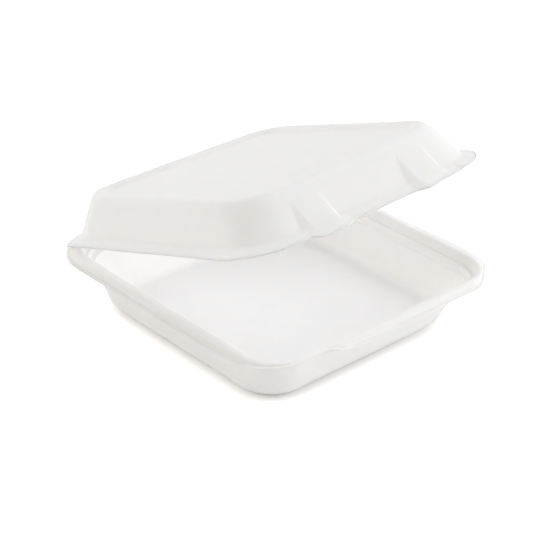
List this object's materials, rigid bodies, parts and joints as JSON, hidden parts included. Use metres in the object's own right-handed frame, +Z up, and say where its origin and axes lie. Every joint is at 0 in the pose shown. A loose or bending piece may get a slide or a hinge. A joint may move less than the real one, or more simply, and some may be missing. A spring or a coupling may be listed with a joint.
{
  "type": "hinged clamshell food container",
  "caption": "Square hinged takeaway container of moulded bagasse pulp: flat-bottomed tray with a rolled rim and a domed lid that folds along the rear rim, standing part open.",
  "frame": {"origin": "on the tray's flat underside, in the middle of its width and depth", "axes": "+X to the right along the front edge, +Y to the rear where the lid folds, +Z up from the table"},
  "size_m": [0.2334, 0.2424, 0.1458],
  "materials": {
    "pulp": "matte, lightly textured moulded pulp"
  },
  "bodies": {
    "tray": {"tray": "pulp"},
    "lid": {"lid": "pulp"}
  },
  "joints": [
    {"name": "lid_fold", "type": "hinge", "parent": "tray", "child": "lid", "pos_m": [0, 0.12125, 0.03855], "axis": [-1, 0, 0], "range_deg": [-19.5, 160]}
  ]
}
